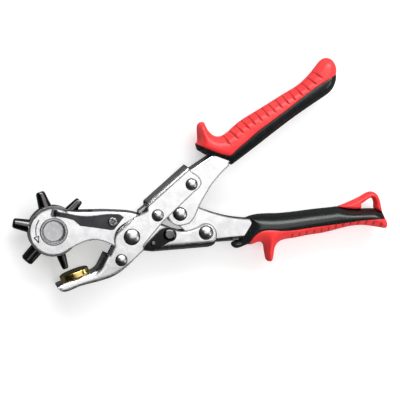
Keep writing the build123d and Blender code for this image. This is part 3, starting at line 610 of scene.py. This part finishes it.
def ribs(points, line, first, last, count, width, length):
    """Depth share of short grooves that start on a border line, square to it."""
    starts, ends = line
    distance, index = nearest(points, starts, ends)
    steps = np.linalg.norm(ends - starts, axis=1)
    travelled = np.concatenate([[0], np.cumsum(steps)[:-1]])
    along = ends[index] - starts[index]
    offset = ((points - starts[index]) * along).sum(1) / np.linalg.norm(along, axis=1)
    place = travelled[index] + offset
    begin, finish = (travelled[nearest(np.array([p]), starts, ends)[1][0]] for p in (first, last))
    begin, finish = sorted((begin, finish))
    pitch = (finish - begin) / (count - 1)
    step = np.clip(np.round((place - begin) / pitch), 0, count - 1)
    across = np.abs(place - begin - step * pitch) / width
    fade = np.clip((length - distance) / (0.25 * length), 0, 1)
    return np.exp(-(across**2)) * fade


SEAM_TINT, SEAM_TINT_WIDTH = 0.9, 0.30 * MM
SEAM_DIP, SEAM_DIP_WIDTH = 0.45 * MM, 0.55 * MM
SEAM_RIM = 0.5 * MM
GROOVE_DEPTH = 0.9 * MM
# painted shade: how dark the bottom of each groove is made
GROOVE_SHADE = 0.75
GROOVE_FULL_HEIGHT = 3 * MM
LEAST_HEIGHT = 0.02 * MM


def build_grip(parts, half, round_reach, power, grooves):
    """The two pieces of a grip, crowned together so that one surface runs over both.

    parts maps each new piece to its CAD node, body, material, slot and share of the full height; the slot
    is not used.
    """
    loops = {name: resample(top_loops(spec["node"])[0], BORDER_STEP) for name, spec in parts.items()}
    raw = {name: top_loops(spec["node"])[0] for name, spec in parts.items()}
    names = list(parts)
    for name, other in (names, names[::-1]):
        spec = parts[name]
        own, join = split_border(loops[name], raw[other])
        far_own, _ = split_border(loops[other], raw[name])
        outside = tuple(np.concatenate(pair) for pair in zip(own, far_own))
        flat, faces = triangulate([loops[name]])
        depth = soft_depth(flat, *outside)
        height = crown(depth, round_reach, power, half * spec["share"])
        seam, _ = nearest(flat, *join)
        seam_line_and_groove_shade = SEAM_TINT * np.exp(-((seam / SEAM_TINT_WIDTH) ** 2))
        dip = SEAM_DIP * np.exp(-((seam / SEAM_DIP_WIDTH) ** 2))
        height -= dip * np.clip(depth / SEAM_RIM, 0, 1)
        if name in grooves:
            slit = ribs(flat, own, *grooves[name])
            height -= GROOVE_DEPTH * slit * np.clip(height / GROOVE_FULL_HEIGHT, 0, 1)
            # painted shade in the grooves; the seam line above is the dark joint between the pieces
            seam_line_and_groove_shade = np.maximum(seam_line_and_groove_shade, GROOVE_SHADE * slit**2)
        height = np.where(depth <= 0, 0, np.maximum(height, LEAST_HEIGHT))
        piece = crowned_mesh(name, flat, faces, height, HALF_GRIP, seam_line_and_groove_shade)
        piece.data.materials.append(spec["material"])
        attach(piece, spec["body"])
        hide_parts(spec["node"])


LOOP_REACH, LOOP_POWER = 2.6 * MM, 2.4


def build_hang_loop(material):
    """Triangular ring at the end of the lower grip, with rounded rims."""
    loops = [resample(loop, BORDER_STEP) for loop in top_loops("hang_loop")]
    starts = np.concatenate(loops)
    ends = np.concatenate([np.roll(loop, -1, axis=0) for loop in loops])
    flat, faces = triangulate(loops)
    depth = soft_depth(flat, starts, ends)
    low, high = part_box("hang_loop")
    half = (high.z - low.z) / 2
    height = np.where(depth <= 0, 0, crown(depth, LOOP_REACH, LOOP_POWER, half))
    piece = crowned_mesh("hang_loop_ring", flat, faces, height, HALF_GRIP, np.zeros(len(flat)))
    piece.data.materials.append(material)
    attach(piece, "lower_handle")
    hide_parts("hang_loop")


# --- the scene ------------------------------------------------------------------------------
make_camera()
make_lights()
make_floor()

STEEL_DARK, STEEL_LIGHT = (0.82, 0.82, 0.83), (0.92, 0.92, 0.93)
ANVIL_TILT = math.radians(111.2)
ANVIL_AXIS = Vector((math.cos(ANVIL_TILT), math.sin(ANVIL_TILT), 0))
ARROW_CENTRE = tool_point(-62.5, 3.2)
ARROW_REACH = 8.2 * MM
ARROW_SINK = 1.15 * MM      # how far the arrow's floor lies below the top of the turret axle
arrow_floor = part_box("turret_axle")[1].z - ARROW_SINK

PLATE_GLOSS = (0.16, 0.27)
# sides of the main pivot on which a plate is folded with a wide radius
FRAME_BENDS = [(math.radians(136), 4 * MM, 7 * MM), (math.radians(-90), 14 * MM, 19 * MM)]
JAW_BENDS = [(math.radians(-75), 4 * MM, 7 * MM)]


def plate_metal(name, grain, **details):
    """Polished nickel of the folded plates, with a dark line round their edges: partly the dull edge the
    shears leave, partly painted shade.
    """
    return metal(name, STEEL_DARK, STEEL_LIGHT, PLATE_GLOSS, grain=grain, dark_edge_and_shade=True, **details)


nickel = plate_metal("polished_nickel", 35)
folded = plate_metal("folded_nickel", 35, bends=FRAME_BENDS)
# painted shade: the engraved arrow's floor is painted near-black, as shade in the recess
engraved = plate_metal(
    "engraved_nickel", 5,
    mask=lambda tree: engraving(tree, arrow_floor), masked=(0.02, 0.02, 0.02),
    spared=(ARROW_CENTRE, ARROW_REACH), bends=JAW_BENDS,
)
dome = metal("polished_rivet", (0.66, 0.66, 0.67), (0.80, 0.80, 0.81), (0.28, 0.35), dark_edge_and_shade=True)
plain = metal("plain_steel", (0.45, 0.45, 0.46), (0.60, 0.60, 0.61), (0.28, 0.42), grain=0)
spring = metal(
    "blued_spring_steel", (0.060, 0.060, 0.064), (0.095, 0.095, 0.10), (0.34, 0.48),
    worn=(0.42, 0.42, 0.43), grain=8,
)
oxide = metal(
    "black_oxide", (0.016, 0.016, 0.017), (0.034, 0.034, 0.036), (0.24, 0.36), worn=(0.30, 0.30, 0.31)
)
wheel = metal(
    "blackened_wheel", (0.14, 0.14, 0.145), (0.24, 0.24, 0.245), (0.24, 0.36), worn=(0.50, 0.50, 0.51)
)
tube = metal(
    "blackened_tube", (0.09, 0.09, 0.093), (0.16, 0.16, 0.163), (0.14, 0.24), worn=(0.40, 0.40, 0.41)
)
# painted shade: the anvil's face is painted a darker olive than its sides, standing in for the dark
# reflection the face shows
brass = metal(
    "anvil_brass", (0.74, 0.53, 0.15), (0.90, 0.70, 0.26), (0.16, 0.30), grain=0,
    mask=lambda tree: facing(tree, ANVIL_AXIS), masked=(0.42, 0.34, 0.08),
)
turned = turned_metal(
    "turned_steel", (0.62, 0.62, 0.63), (0.76, 0.76, 0.77), (0.22, 0.36), middle("turret_axle"), 0.35 * MM
)
red = plastic(
    "red_grip_plastic", (0.84, 0.026, 0.029), (0.92, 0.048, 0.050), (0.30, 0.44), 0.02 * MM,
    scuff=(0.92, 0.20, 0.19), shadow=(0.16, 0.004, 0.005),
)
black = plastic(
    "black_grip_plastic", (0.007, 0.009, 0.009), (0.013, 0.015, 0.015), (0.20, 0.30), 0.006 * MM,
    scuff=(0.035, 0.035, 0.035), shadow=(0.003, 0.003, 0.003),
)

paint(folded, "lower_jaw_frame")
paint(nickel, "upper_handle", "lower_handle")
paint(engraved, "upper_jaw")
paint(
    dome, "jaw_pivot_rivet", "upper_handle_rivet", "frame_spacer_rivets", "handle_pivot_rivet",
    "tail_pivot_rivet", "index_spring_screw",
)
paint(turned, "turret_axle", "turret_washers")
paint(
    plain, "anvil_rivet", "frame_spacer_sleeves", "jaw_pivot_sleeve", "upper_handle_sleeve",
    "handle_pivot_sleeve", "tail_pivot_sleeve", "opening_stop",
)
paint(wheel, "turret_wheel")
paint(spring, "index_spring", "return_spring")
paint(oxide, "lock_catch")
paint(tube, "lock_catch_rivet", "lock_catch_stud", *[f"punch_tube_{i}" for i in range(1, 7)])
paint(brass, "anvil")

CORE_SHARE = 0.965
UPPER_ROUND = (9.5 * MM, 2.3)
LOWER_ROUND = (11.5 * MM, 2.05)
upper = dict(body="upper_handle")
lower = dict(body="lower_handle")
shell = dict(material=red, slot="red_grip", share=1.0)
core = dict(material=black, slot="black_grip", share=CORE_SHARE)
# grooves of a shell: first and last place, count, width and length
upper_grooves = (tool_point(60.7, 66.3)[:2], tool_point(119.8, 108.9)[:2], 15, 0.5 * MM, 6.8 * MM)
lower_grooves = (tool_point(107.9, -2.1)[:2], tool_point(167.5, 5.3)[:2], 13, 0.75 * MM, 4.6 * MM)
build_grip(
    {
        "upper_shell": dict(node="upper_grip_shell", **upper, **shell),
        "upper_core": dict(node="upper_grip_core", **upper, **core),
    },
    HALF_GRIP, *UPPER_ROUND, {"upper_shell": upper_grooves},
)
build_grip(
    {
        "lower_shell": dict(node="lower_grip_shell", **lower, **shell),
        "lower_core": dict(node="lower_grip_core", **lower, **core),
    },
    HALF_GRIP, *LOWER_ROUND, {"lower_shell": lower_grooves},
)
build_hang_loop(red)
